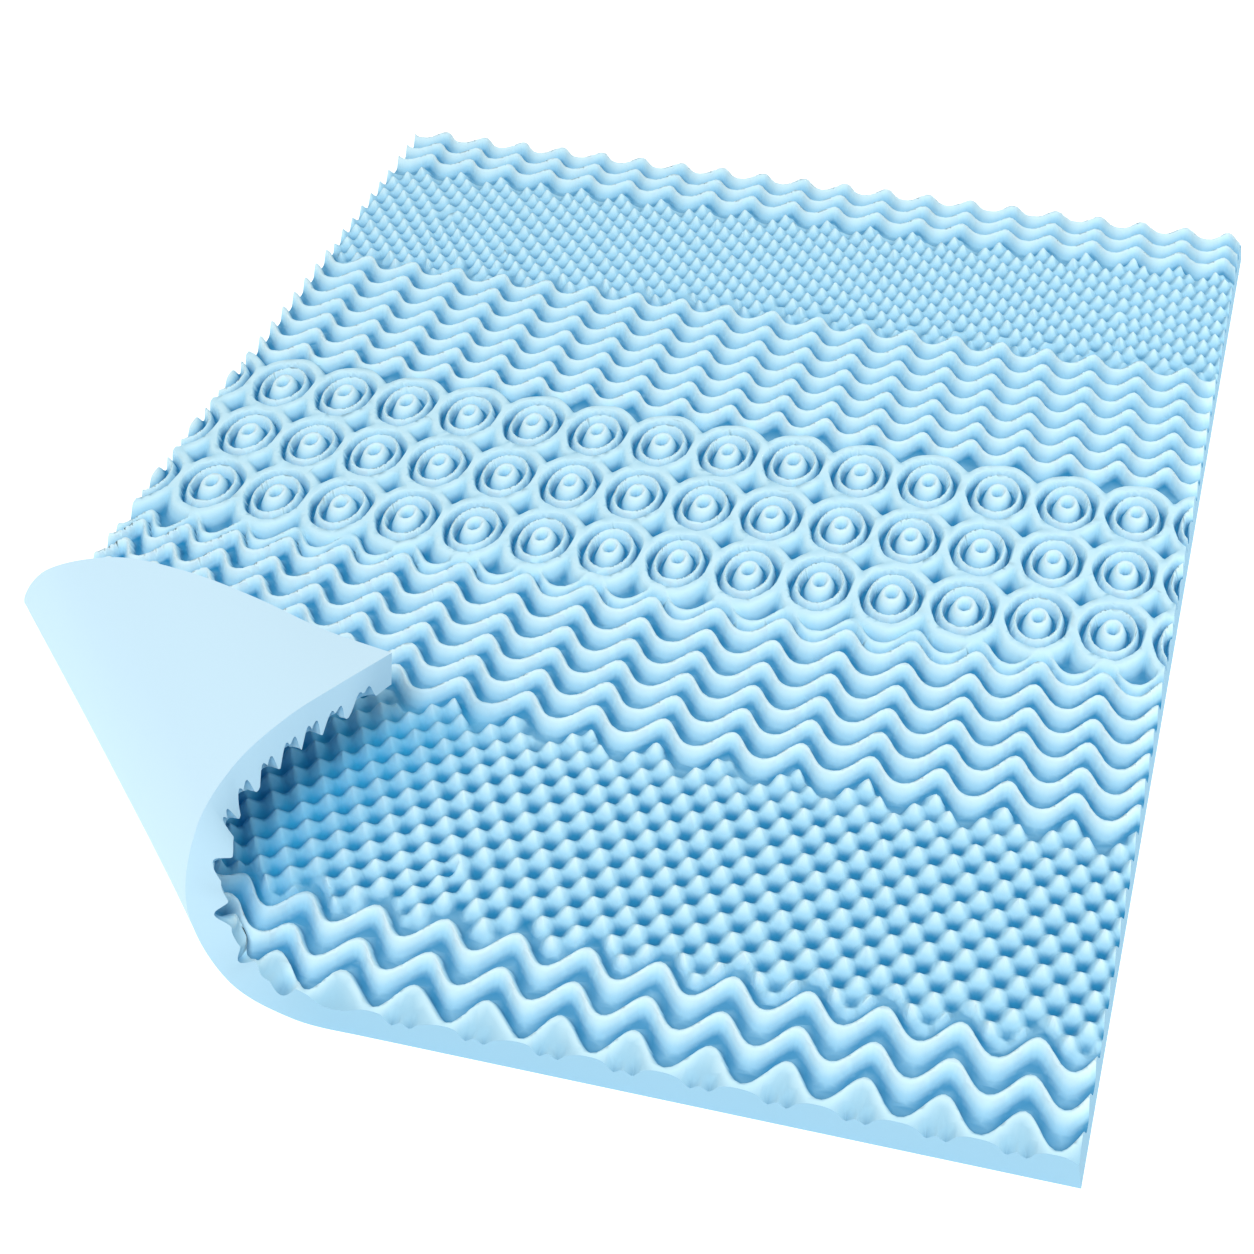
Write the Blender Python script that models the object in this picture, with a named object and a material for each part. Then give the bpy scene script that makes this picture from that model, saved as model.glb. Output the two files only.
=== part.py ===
"""A convoluted foam mattress topper lying flat, with its near left corner curled up and over.

It is one slab of foam. The underside is flat. The top is carved in seven bands that run from side to
side: waves, points, waves, rings, waves, points, waves. The pattern is laid out flat, seen from above, as
points with a height and lines that join them. It is triangulated, closed with walls and an underside, and
then the corner is bent along straight lines that run parallel to each other across it.

Sizes are in millimetres and the mesh is in metres. X runs to the right, Y away from the curl, Z up.
"""

import math

import bpy
import numpy as np
from mathutils.geometry import delaunay_2d_cdt

# ---- driving sizes -------------------------------------------------------------------------------------
MM = 0.001
WIDTH = 1524.0  # across, a queen-size bed
LENGTH = 2032.0
CREST = 50.0  # height of every ridge, ring and point: the foam's thickness
VALLEY = 25.0  # height of the grooves between them
PIT = 29.0  # height of the hollows between points
EDGE_X, EDGE_Y = WIDTH / 2, LENGTH / 2
LEAN = 8.0  # how far the right wall leans in at its top
LEAN_BAND = 60.0  # width of the strip next to that wall that leans with it
MERGE = 4.0  # points nearer than this are one

# Bands of waves: ridges that run from side to side and swing to and fro.
# first = Y of the first ridge's middle line, pitch = from ridge to ridge, swing = half the to-and-fro,
# far_x = X of the right-most swing away from the curl, wave = from one such swing to the next,
# growth = how much longer each wave is than the last, stretch and squeeze = its change to the left, skew = shift in X from ridge to ridge and
# skew_growth = how much more of it each wave has, blunt = how much nearer the middle line the near swings
# are than the far ones, tilt = rise of the ridges to the right, rise = rise of the first to the left and
# fall = their fall at the left.
WAVE_COLUMNS = ("name", "first", "pitch", "ridges", "swing", "far_x", "wave", "growth", "stretch", "squeeze")
WAVE_COLUMNS += ("skew", "skew_growth", "blunt", "tilt", "rise", "fall")
WAVE_ROWS = (
    ("front", -991.0, 55.0, 3, 20.4, 687.0, 89.4, 0.0, 0.0, 0.0, 0.0, 0.0, 0.05, 0.0, 0.0, 0.0),
    ("near", -471.8, 48.6, 6, 20.2, 672.5, 86.6, 0.6, 0.0475, -0.00478, 1.0, 0.16, 0.12, 0.0, 8e-5, 8.5e-5),
    ("far", 267.5, 47.1, 7, 17.5, 707.5, 73.8, 0.19, 0.0, 0.0, 0.0, 0.0, 0.12, 0.008, 0.0, 0.0),
    ("back", 911.0, 42.7, 3, 15.0, 735.5, 75.9, 0.0, 0.0, 0.0, 0.0, 0.0, 0.12, 0.0, 0.0, 0.0),
)
WAVES = {row[0]: dict(zip(WAVE_COLUMNS, row)) for row in WAVE_ROWS}
# The near wall notches the foam's top: in pairs where it is flat, then singly where it starts to curl, and
# in closer pairs up to the corner. Each place here is the X of a notch or of a pair's middle.
NOTCH_SINGLE = (-184.0, -262.0, -330.0, -400.0)
NOTCH_PAIRS = (-469.0, -514.0, -558.0, -598.0, -636.0, -676.0, -719.0)
NOTCH_X, NOTCH_HEIGHT, HUMP_HEIGHT = 9.5, 25.0, 39.5

# Bands of points: rows of pyramids, each row half a step along from the last.
# x and y = one point, step_x and step_y = half the spacing and step_right the one right of x, curve = rise
# of the rows to the left of rise_from, fan = how much the columns spread with Y, right_rise and right_tilt =
# rise of the rows on the right.
POINT_COLUMNS = ("name", "x", "y", "step_x", "step_y", "step_right", "curve", "rise_from", "fan")
POINT_COLUMNS += ("right_rise", "right_tilt")
POINT_ROWS = (
    ("near", 674.0, -547.5, 22.0, 25.0, 22.15, 1.13e-4, 630.0, 1.4e-4, 0.0, 0.0),
    ("far", 503.0, 835.0, 18.9, 22.1, 20.1, 0.0, 560.0, 0.0, 8.0, 0.085),
)
POINTS = {row[0]: dict(zip(POINT_COLUMNS, row)) for row in POINT_ROWS}

# The middle band: three rows of oval rings, each round a hub.
RING_STEP_X, RING_STEP_Y = 103.58, 136.7
RING_X, RING_ROWS_Y = -670.5, (-113.7, 23.0, 159.7)
# share_x and share_y = size of an oval as a share of the ring spacing, height = the foam there, corners =
# its points.
OVAL_COLUMNS = ("name", "share_x", "share_y", "height", "corners")
OVAL_ROWS = (
    ("hub", 0.13, 0.14, 54.0, 6),
    ("groove", 0.24, 0.265, 33.0, 6),
    ("ring", 0.315, 0.345, 50.0, 8),
    ("outer_groove", 0.40, 0.415, 33.0, 8),
)
HUB_DIMPLE = 37.0
WEB_SHARE = 0.49  # the web round each ring, at full height
WEB_END = 66.0  # half-length of a web cell at the band's two long sides
RING_PIT = 25.0
RIM_GAP, RIM_TOP_Y = 28.0, -187.0  # from the last near ridge to the one that closes the band, and its limit
RING_FAR_Y = 231.0  # where the band ends on its far side
RIM_GROOVE = 35.0  # height of the groove before it

# The curl. Flat, its lines join a place on the near edge to one on the left edge, all parallel. Each row
# holds where the two ends of one line go, on the outer face: f = from the near edge, g = from the left.
# The first line stays on the floor, the last is the corner itself.
CURL_FROM_X, CURL_FROM_Y = -80.0, -309.0
CURL_COLUMNS = ("fx", "fy", "fz", "gx", "gy", "gz")
CURL_ROWS = (
    (-80, -1016, 0, -762, -309, 0),
    (-167, -1017, 7, -760, -410, 24),
    (-249, -1005, 38, -765, -497, 97),
    (-304, -970, 108, -709, -512, 179),
    (-314, -901, 171, -610, -499, 211),
    (-302, -811, 194, -506, -502, 211),
    (-272, -722, 199, -404, -514, 197),
    (-238, -636, 189, -303, -533, 180),
    (-204, -549, 175, -204, -549, 175),
)
CUT_X, CUT_Y, CUT_BAND = 25.8, -13.6, 80.0  # how far the curled near wall is pulled along and out at its top
CURL_LINES = 16  # lines across the curl on the underside
RIM_STEPS = 16  # divisions of each side of the underside
FOAM_COLOUR = (0.34, 0.66, 0.91, 1.0)


# ---- the curl ------------------------------------------------------------------------------------------
def curl_ends(t):
    """The two ends of the curl's lines at shares t of the way to the corner: arrays (n, 3) and (n, 3)."""
    rows = np.array(CURL_ROWS, float)
    spans = len(rows) - 1
    flat = np.array([-EDGE_X - CURL_FROM_X, 0, 0, 0, -EDGE_Y - CURL_FROM_Y, 0]) / spans
    slopes = np.vstack([flat, (rows[2:] - rows[:-2]) / 2, rows[-1] - rows[-2]])
    t = np.clip(np.asarray(t, float), 0.0, 1.0) * spans
    i = np.minimum(t.astype(int), spans - 1)
    u = (t - i)[:, None]
    ends = (
        (2 * u**3 - 3 * u**2 + 1) * rows[i]
        + (u**3 - 2 * u**2 + u) * slopes[i]
        + (3 * u**2 - 2 * u**3) * rows[i + 1]
        + (u**3 - u**2) * slopes[i + 1]
    )
    return ends[:, :3], ends[:, 3:]


def outer_face(x, y):
    """Where the underside's plan places (x, y) go, in the curl or out of it: an array (n, 3)."""
    u = (x + EDGE_X) / (CURL_FROM_X + EDGE_X)
    v = (y + EDGE_Y) / (CURL_FROM_Y + EDGE_Y)
    reach = u + v
    along = v / np.maximum(reach, 1e-9)
    f, g = curl_ends(1.0 - reach)
    bent = f + (g - f) * along[:, None]
    flat = np.column_stack([x, y, np.zeros_like(x)])
    return np.where((reach < 1.0)[:, None], bent, flat)


def eased(share):
    """A smooth step from 0 to 1 as share goes from 0 to 1."""
    t = np.clip(share, 0.0, 1.0)
    return t * t * (3.0 - 2.0 * t)


def curled(flat):
    """Points (x, y, height) of the flat slab moved to where the curl takes them."""
    x, y, height = flat.T
    lean = LEAN * np.clip((x - EDGE_X + LEAN_BAND) / LEAN_BAND, 0, 1) ** 2 * height / CREST
    bent = 1.0 - (x + EDGE_X) / (CURL_FROM_X + EDGE_X) - (y + EDGE_Y) / (CURL_FROM_Y + EDGE_Y)
    pull = eased((bent - 0.1) / 0.3) * eased((1.0 - bent) / 0.12) * eased((CUT_BAND - y - EDGE_Y) / CUT_BAND)
    pull = pull * height / CREST
    x, y = x + CUT_X * pull - lean, y + CUT_Y * pull
    # The normal is read a little way in from the edges, so that it is steady at the corner itself.
    step = 4.0
    nx = np.clip(x, -EDGE_X + 3 * step, None)
    ny = np.clip(y, -EDGE_Y + 3 * step, None)
    along_x = outer_face(nx + step, ny) - outer_face(nx - step, ny)
    along_y = outer_face(nx, ny + step) - outer_face(nx, ny - step)
    normal = np.cross(along_x, along_y)
    normal /= np.linalg.norm(normal, axis=1)[:, None]
    return outer_face(x, y) + normal * height[:, None]


# ---- the plan ------------------------------------------------------------------------------------------
class Plan:
    """The pattern from above: points with the foam's height, and the lines that join them."""

    def __init__(self):
        self.points = []
        self.lines = set()
        self.near = {}

    def point(self, x, y, height):
        """Index of the point at (x, y), a new one unless one is close by. Points by an edge go on to it."""
        x = math.copysign(EDGE_X, x) if abs(x) > EDGE_X - MERGE else x
        y = math.copysign(EDGE_Y, y) if abs(y) > EDGE_Y - MERGE else y
        cell = (round(x / MERGE), round(y / MERGE))
        for i in (-1, 0, 1):
            for j in (-1, 0, 1):
                for index in self.near.get((cell[0] + i, cell[1] + j), ()):
                    if math.dist(self.points[index][:2], (x, y)) < MERGE:
                        return index
        self.near.setdefault(cell, []).append(len(self.points))
        self.points.append((x, y, height))
        return len(self.points) - 1

    def path(self, corners, closed=False):
        """Joins (x, y, height) corners by lines, cut where they leave the slab."""
        ends = corners[1:] + corners[:1] if closed else corners[1:]
        for a, b in zip(corners, ends):
            part = clipped(a, b)
            if part:
                self.join(self.point(*part[0]), self.point(*part[1]))

    def join(self, a, b):
        if a != b:
            self.lines.add((min(a, b), max(a, b)))


def clipped(a, b):
    """The part of the segment from a to b that is on the slab, or None."""
    low, high = 0.0, 1.0
    for axis, edge in ((0, EDGE_X), (1, EDGE_Y)):
        for sign in (-1, 1):
            start, run = sign * a[axis] - edge, sign * (b[axis] - a[axis])
            if abs(run) < 1e-9:
                if start > 0:
                    return None
            elif run > 0:
                high = min(high, -start / run)
            else:
                low = max(low, -start / run)
    if high - low < 1e-6:
        return None
    return [tuple(p + (q - p) * t for p, q in zip(a, b)) for t in (low, high)]


def swings(band, ridge):
    """(x, side) along a ridge from right to left: side is 1 at a far swing and -1 at a near one."""
    found = []
    for n in range(-2, 48):
        turns = n / 2
        x = band["far_x"] - band["wave"] * turns - band["growth"] * turns**2
        x -= band["stretch"] * turns**3 + band["squeeze"] * turns**4
        x += (band["skew"] + band["skew_growth"] * turns) * ridge
        found.append((x, -1 if n % 2 else 1))
    return [f for f in found if abs(f[0]) < EDGE_X + band["wave"]]


def ridge_line(band, ridge, height):
    """Corners of a ridge's crest. A ridge number with a half is the groove between two."""
    line = []
    for x, side in swings(band, ridge):
        rise = band["rise"] * min(1.0, max(0.0, 1.0 - ridge / 8.0)) * min(max(250.0 - x, 0.0), 450.0) ** 2
        rise -= band["fall"] * min(x + 200.0, 0.0) ** 2
        middle = band["first"] + band["pitch"] * ridge + band["tilt"] * (x - 500.0) + rise
        line.append((x, middle + (side + band["blunt"]) * band["swing"], height))
    return line


def line_y(corners, x):
    """Y of a line of corners at x."""
    xs, ys = [c[0] for c in corners], [c[1] for c in corners]
    return float(np.interp(x, xs[::-1], ys[::-1]))


def add_waves(plan):
    for name, band in WAVES.items():
        for half in range(0 if name == "front" else -1, 2 * band["ridges"] - (name == "near")):
            height = CREST if half % 2 == 0 else VALLEY
            line = ridge_line(band, half / 2, height)
            if name == "far" and half < 0:
                line = [(x, max(y, RING_FAR_Y), h) for x, y, h in line]
            plan.path(line)
    # The first ridge runs along the near wall at its near swings, and is notched by it between them.
    flat = [(x, side) for x, side in swings(WAVES["front"], 0) if x > -140.0]
    pairs = [(x, 33.0) for x, side in flat if side > 0] + [(x, NOTCH_HEIGHT) for x in NOTCH_PAIRS]
    cuts = [(x, CREST) for x, side in flat if side < 0]
    cuts += [(x + sign * NOTCH_X, height) for x, height in pairs for sign in (-1, 1)]
    cuts += [(x, HUMP_HEIGHT) for x, _ in pairs] + [(x, NOTCH_HEIGHT) for x in NOTCH_SINGLE]
    cuts += [((a + b) / 2, CREST) for a, b in zip(NOTCH_SINGLE[1:], NOTCH_SINGLE)]
    cuts += [((a + b) / 2, CREST) for a, b in zip(NOTCH_PAIRS[1:], NOTCH_PAIRS)]
    for x, height in cuts:
        if abs(x) < EDGE_X - MERGE:
            plan.point(x, -EDGE_Y, height)
    # The far wall cuts the last ridge's far side just past its far swings, and the groove between them.
    for x, side in swings(WAVES["back"], 2):
        if abs(x) < EDGE_X - MERGE:
            plan.point(x, EDGE_Y, CREST - 3.0 if side > 0 else VALLEY)


def row_rise(band, x):
    """How far the rows of points have risen at x."""
    left = max(band["rise_from"] - x, 0.0)
    right = band["right_rise"] * float(eased((x - 230.0) / 280.0))
    return band["curve"] * left**2 + right + band["right_tilt"] * max(x - band["rise_from"], 0.0)


def add_points(plan, name, low, high):
    """A band of points between two lines, with a hollow between each four of them."""
    band = POINTS[name]
    columns = int(2 * EDGE_X / band["step_x"]) + 8
    grid = {}
    for j in range(-16, columns):
        for k in range(-12, 24):
            step = band["step_x"] if j > 0 else band["step_right"]
            y = band["y"] - band["step_y"] * k
            x = band["x"] - step * j / (1.0 + band["fan"] * (y - band["y"]))
            if abs(x) > EDGE_X - 7:
                continue
            y += row_rise(band, x)
            if not line_y(low, x) + 10 < y < line_y(high, x) - 10:
                continue
            peak = (j + k) % 2 == 0
            grid[j, k] = plan.point(x, y, CREST if peak else PIT)
    for (j, k), index in grid.items():
        # Lines between neighbouring hollows leave each point as a pyramid of its own.
        if (j + k) % 2:
            for other in ((j + 1, k + 1), (j + 1, k - 1)):
                if other in grid:
                    plan.join(index, grid[other])
    # The walls cut through the rows: some through a point, some beside it.
    for edge in (-EDGE_X, EDGE_X):
        for k in range(-12, 24):
            y = band["y"] - band["step_y"] * k
            left = (band["x"] - edge) * (1.0 + band["fan"] * (y - band["y"]))
            turn = left / (band["step_x"] if left > 0 else band["step_right"]) - k
            y += row_rise(band, edge)
            if line_y(low, edge) + 8 < y < line_y(high, edge) - 8:
                plan.point(edge, y, 39.0 + 11.0 * math.cos(math.pi * turn))


def add_rings(plan):
    half_x, half_y = RING_STEP_X / 2, RING_STEP_Y / 2
    rows = len(RING_ROWS_Y) - 1
    for row, cy in enumerate(RING_ROWS_Y):
        down = WEB_END if row == 0 else half_y
        up = WEB_END if row == rows else half_y
        for n in range(-1, 15):
            cx = RING_X + RING_STEP_X * n
            if abs(cx) < EDGE_X - MERGE:
                plan.point(cx, cy, HUB_DIMPLE)
            for _, share_x, share_y, height, corners in OVAL_ROWS:
                turn = [2 * math.pi * (c + 0.5) / corners for c in range(corners)]
                plan.path(
                    [
                        (
                            cx + share_x * RING_STEP_X * math.cos(a),
                            cy + share_y * RING_STEP_Y * math.sin(a),
                            height,
                        )
                        for a in turn
                    ],
                    closed=True,
                )
            # The web meets its neighbours' halfway along each side of the cell, with a pit at each corner.
            slope_x = WEB_SHARE * RING_STEP_X * math.sqrt(0.5)
            slope_y = WEB_SHARE * RING_STEP_Y * math.sqrt(0.5)
            web = [
                (cx + half_x, cy),
                (cx + slope_x, cy + slope_y),
                (cx, cy + up),
                (cx - slope_x, cy + slope_y),
                (cx - half_x, cy),
                (cx - slope_x, cy - slope_y),
                (cx, cy - down),
                (cx + slope_x, cy - slope_y),
            ]
            plan.path([(x, y, CREST) for x, y in web], closed=True)
            for y in (cy - (down if row else down - 6), cy + (up if row < rows else up - 4)):
                if abs(cx + half_x) < EDGE_X - MERGE:
                    plan.point(cx + half_x, y, RING_PIT)
    last = ridge_line(WAVES["near"], 5, CREST)
    plan.path([(x, min(y + RIM_GAP, RIM_TOP_Y), CREST) for x, y, _ in last])
    plan.path([(x, min(y + RIM_GAP / 2, RIM_TOP_Y - 10), RIM_GROOVE) for x, y, _ in last])


def pattern():
    """The whole top as a plan."""
    plan = Plan()
    for x in (-EDGE_X, EDGE_X):
        plan.point(x, -EDGE_Y, 38.0)
        plan.point(x, EDGE_Y, 42.0)
    add_waves(plan)
    add_rings(plan)
    add_points(plan, "near", ridge_line(WAVES["front"], 2.5, VALLEY), ridge_line(WAVES["near"], -0.5, VALLEY))
    add_points(plan, "far", ridge_line(WAVES["far"], 6.5, VALLEY), ridge_line(WAVES["back"], -0.5, VALLEY))
    return plan


# ---- the solid -----------------------------------------------------------------------------------------
def perimeter(x, y):
    """How far round the slab an edge place is, anticlockwise from the near left corner. None inside."""
    if abs(y + EDGE_Y) < 1e-6:
        return x + EDGE_X
    if abs(x - EDGE_X) < 1e-6:
        return WIDTH + y + EDGE_Y
    if abs(y - EDGE_Y) < 1e-6:
        return WIDTH + LENGTH + EDGE_X - x
    if abs(x + EDGE_X) < 1e-6:
        return 2 * WIDTH + LENGTH + EDGE_Y - y
    return None


def triangulated(points, lines):
    """(flat points, triangles facing up, edge points in order) of a plan. Its lines stay edges."""
    rim = sorted((perimeter(x, y), i) for i, (x, y, _) in enumerate(points) if perimeter(x, y) is not None)
    order = [i for _, i in rim]
    sides = set(zip(order, order[1:] + order[:1]))
    inner = [e for e in lines if e not in sides and e[::-1] not in sides]
    made = delaunay_2d_cdt([p[:2] for p in points], list(sides) + inner, [], 0, 1e-4)
    places, _, faces, source = made[0], made[1], made[2], made[3]
    if len(places) != len(points):
        crossed = [tuple(round(c) for c in p) for p, s in zip(places, source) if len(s) != 1]
        raise ValueError(f"{len(places)} places from {len(points)} points: lines cross at {crossed[:9]}")
    index = [s[0] for s in source]
    return np.array(points, float), [tuple(index[i] for i in f) for f in faces], order


def underside():
    """The underside's plan: the four corners and the curl's lines."""
    plan = Plan()
    for x in (-EDGE_X, EDGE_X):
        for y in (-EDGE_Y, EDGE_Y):
            plan.point(x, y, 0.0)
    for n in range(1, RIM_STEPS):
        x, y = EDGE_X - WIDTH * n / RIM_STEPS, EDGE_Y - LENGTH * n / RIM_STEPS
        plan.point(x, EDGE_Y, 0.0)
        plan.point(EDGE_X, y, 0.0)
        if x > CURL_FROM_X:
            plan.point(x, -EDGE_Y, 0.0)
        if y > CURL_FROM_Y:
            plan.point(-EDGE_X, y, 0.0)
    for n in range(CURL_LINES):
        left = 1.0 - n / CURL_LINES
        a = (-EDGE_X + left * (CURL_FROM_X + EDGE_X), -EDGE_Y, 0.0)
        b = (-EDGE_X, -EDGE_Y + left * (CURL_FROM_Y + EDGE_Y), 0.0)
        middle = tuple((p + q) / 2 for p, q in zip(a, b))
        plan.path([a, middle, b])
    return plan


def walls(top, top_rim, bottom, bottom_rim, offset):
    """Triangles of the four walls, each laid out flat. The bottom's indices start at offset."""
    faces = []
    corners = np.cumsum([0.0, WIDTH, LENGTH, WIDTH, LENGTH])
    for start, end in zip(corners, corners[1:]):
        loop = []
        for points, rim, shift in ((bottom, bottom_rim, offset), (top, top_rim, 0)):
            along = [(perimeter(*points[i][:2]), points[i][2], i + shift) for i in rim]
            along += [(corners[-1], h, i) for s, h, i in along if s == 0.0]
            side = sorted(p for p in along if start <= p[0] <= end)
            loop += side if not loop else side[::-1]
        ring = [(i, (i + 1) % len(loop)) for i in range(len(loop))]
        made = delaunay_2d_cdt([p[:2] for p in loop], ring, [list(range(len(loop)))], 1, 1e-4)
        if len(made[0]) != len(loop):
            raise ValueError(f"the wall from {start} to {end} crosses itself")
        faces += [tuple(loop[made[3][i][0]][2] for i in f) for f in made[2]]
    return faces


def topper():
    """Points in millimetres and triangles of the whole slab, centred on the floor."""
    top_plan, bottom_plan = pattern(), underside()
    top, top_faces, top_rim = triangulated(top_plan.points, top_plan.lines)
    bottom, bottom_faces, bottom_rim = triangulated(bottom_plan.points, bottom_plan.lines)
    faces = list(top_faces)
    faces += [tuple(i + len(top) for i in reversed(f)) for f in bottom_faces]
    faces += walls(top, top_rim, bottom, bottom_rim, len(top))
    points = curled(np.vstack([top, bottom]))
    middle = (points.min(axis=0) + points.max(axis=0)) / 2
    points -= (middle[0], middle[1], points[:, 2].min())
    return points, faces


def main():
    for obj in list(bpy.data.objects):
        bpy.data.objects.remove(obj)
    points, faces = topper()
    mesh = bpy.data.meshes.new("topper")
    mesh.from_pydata([tuple(p * MM) for p in points], [], faces)
    mesh.validate()
    mesh.update()
    foam = bpy.data.materials.new("foam")
    foam.use_nodes = True
    shader = foam.node_tree.nodes["Principled BSDF"]
    shader.inputs["Base Color"].default_value = FOAM_COLOUR
    shader.inputs["Roughness"].default_value = 0.9
    mesh.materials.append(foam)
    bpy.context.scene.collection.objects.link(bpy.data.objects.new("topper", mesh))


main()
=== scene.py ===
"""A convoluted foam mattress topper with one corner curled up and over, on a white studio floor.

The topper is one slab of foam. Its top is a height over a flat plan: bands of waves, points and
rings that run from side to side. The plan is meshed, closed with cut walls and an underside, and
then the near left corner is bent over along parallel lines. Sizes are in millimetres until the
mesh is made, in metres.
"""

from __future__ import annotations

import logging
import math
from dataclasses import dataclass, field
from enum import Enum
from typing import NamedTuple

import bpy
import numpy as np
from mathutils import Euler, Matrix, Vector
from mathutils.geometry import delaunay_2d_cdt

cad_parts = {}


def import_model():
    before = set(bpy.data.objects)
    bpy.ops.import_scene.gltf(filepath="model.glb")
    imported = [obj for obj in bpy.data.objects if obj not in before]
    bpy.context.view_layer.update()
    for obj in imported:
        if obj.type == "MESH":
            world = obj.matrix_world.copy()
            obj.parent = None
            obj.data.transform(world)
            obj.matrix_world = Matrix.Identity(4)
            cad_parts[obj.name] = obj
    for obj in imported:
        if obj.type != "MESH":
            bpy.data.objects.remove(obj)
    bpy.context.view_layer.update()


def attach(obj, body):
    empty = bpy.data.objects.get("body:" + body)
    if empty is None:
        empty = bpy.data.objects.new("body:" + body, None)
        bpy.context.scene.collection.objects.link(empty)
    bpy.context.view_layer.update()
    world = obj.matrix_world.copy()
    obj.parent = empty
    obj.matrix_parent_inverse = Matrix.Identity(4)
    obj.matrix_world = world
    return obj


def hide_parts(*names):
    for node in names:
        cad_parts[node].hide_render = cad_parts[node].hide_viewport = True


LOG = logging.getLogger("topper")
MM = 0.001
TURN = 2 * math.pi
EDGE_X, EDGE_Y = 762.0, 1016.0  # half the width and half the length of a queen-size bed
CREST, VALLEY = 50.0, 25.0  # foam heights at the ridges and at the grooves
RELIEF = CREST - VALLEY


# ---- small numerical helpers ------------------------------------------------------------------
def ease(share: np.ndarray) -> np.ndarray:
    """A smooth step from 0 to 1 as share goes from 0 to 1."""
    t = np.clip(share, 0.0, 1.0)
    return t * t * (3.0 - 2.0 * t)


def soft_max(a: np.ndarray, b: np.ndarray, reach: float) -> np.ndarray:
    """The larger of two heights, rounded where they meet.

    Args:
        a: One height.
        b: The other height.
        reach: How far apart, in millimetres, they still round into each other.

    Returns:
        The blended height.
    """
    d = np.clip(0.5 + 0.5 * (a - b) / reach, 0.0, 1.0)
    return b * (1.0 - d) + a * d + reach * d * (1.0 - d)


def drift(x: np.ndarray, y: np.ndarray, seed: int, pace: float) -> np.ndarray:
    """A slow unevenness over the plan, about -1 to 1.

    Args:
        x: X of the places.
        y: Y of the places.
        seed: Which unevenness.
        pace: Its typical length in millimetres.

    Returns:
        The unevenness at each place.
    """
    waves = 7
    rng = np.random.default_rng(seed)
    total = np.zeros_like(np.asarray(x, float))
    for _ in range(waves):
        turn, shift = rng.uniform(0, TURN, 2)
        length = pace * rng.uniform(0.6, 1.6)
        along = x * math.cos(turn) + y * math.sin(turn)
        total += np.sin(TURN * along / length + shift)
    return total / math.sqrt(waves)


def unit(vectors: np.ndarray) -> np.ndarray:
    """The directions of vectors, one to a row."""
    return vectors / np.maximum(np.linalg.norm(vectors, axis=1), 1e-9)[:, None]


# ---- the pattern on top -----------------------------------------------------------------------
@dataclass
class WallCuts:
    """Notches that the near wall cuts into the foam's top, and the foam just behind the wall.

    Where the foam is flat the notches are pairs, one pair between each two swings. Where it is
    curled they are single at first, and then pairs that are closer together. Depths and dips are
    shares of the relief. A half is half a notch's or a pair's width, apart is from a pair's middle
    to each of its notches, and reach is how far in from the wall a notch runs.
    """

    edge: float = -EDGE_Y
    flat_x: float = 687.0
    flat_step: float = 89.4
    flat_pairs: int = 9
    flat_apart: float = 11.0
    flat_half: float = 10.0
    flat_depth: float = 0.55
    flat_reach: float = 20.0
    singles: tuple[float, ...] = (-184.0, -262.0, -330.0, -400.0)
    single_half: float = 19.0
    single_depth: float = 1.1
    single_reach: float = 36.0
    pairs: tuple[float, ...] = (-469.0, -514.0, -558.0, -598.0, -636.0, -676.0, -719.0)
    pair_apart: float = 7.0
    pair_half: float = 18.5
    pair_depth: float = 0.6  # in a pair's middle
    pair_dip: float = 0.5  # how much deeper its two notches are
    pair_reach: float = 17.0
    apron_fall: float = 0.42  # how much lower than the ridge the foam is at the flat wall
    apron_ridges: float = 0.85  # how far it falls, in ridge spacings
    curled_from: float = -380.0
    curled_in: float = 120.0

    def depth(self, x: np.ndarray, y: np.ndarray) -> np.ndarray:
        """How deep the foam is notched.

        Args:
            x: X of the places.
            y: Y of the places.

        Returns:
            The depth at each place, as a share of the relief.
        """
        near = self.edge - y
        deepest = np.zeros_like(x)
        run_in = self.flat_depth * ease(1.0 + near / self.flat_reach)
        for n in range(self.flat_pairs):
            away = np.abs(np.abs(x - self.flat_x + self.flat_step * n) - self.flat_apart)
            deepest = np.maximum(deepest, run_in * np.clip(1.0 - away / self.flat_half, 0, 1))
        run_in = self.single_depth * ease(1.0 + near / self.single_reach)
        for middle in self.singles:
            notch = np.clip(1.0 - np.abs(x - middle) / self.single_half, 0, 1)
            deepest = np.maximum(deepest, run_in * notch)
        run_in = ease(1.0 + near / self.pair_reach)
        for middle in self.pairs:
            away = np.abs(x - middle)
            inner = self.pair_depth + self.pair_dip * away / self.pair_apart
            outer = (self.pair_depth + self.pair_dip) * (self.pair_half - away)
            outer = outer / (self.pair_half - self.pair_apart)
            deepest = np.maximum(deepest, run_in * np.where(away < self.pair_apart, inner, outer))
        return deepest

    def apron(self, x: np.ndarray, number: np.ndarray) -> np.ndarray:
        """Height of the foam between the wall and the first ridge's crest.

        Args:
            x: X of the places.
            number: How many ridges past the first they are, less than 0 before it.

        Returns:
            The height over the grooves, from 0 to 1.
        """
        flat = 1.0 - ease((self.curled_from - x) / self.curled_in)
        return 1.0 - self.apron_fall * ease(-number / self.apron_ridges) * flat


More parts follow.
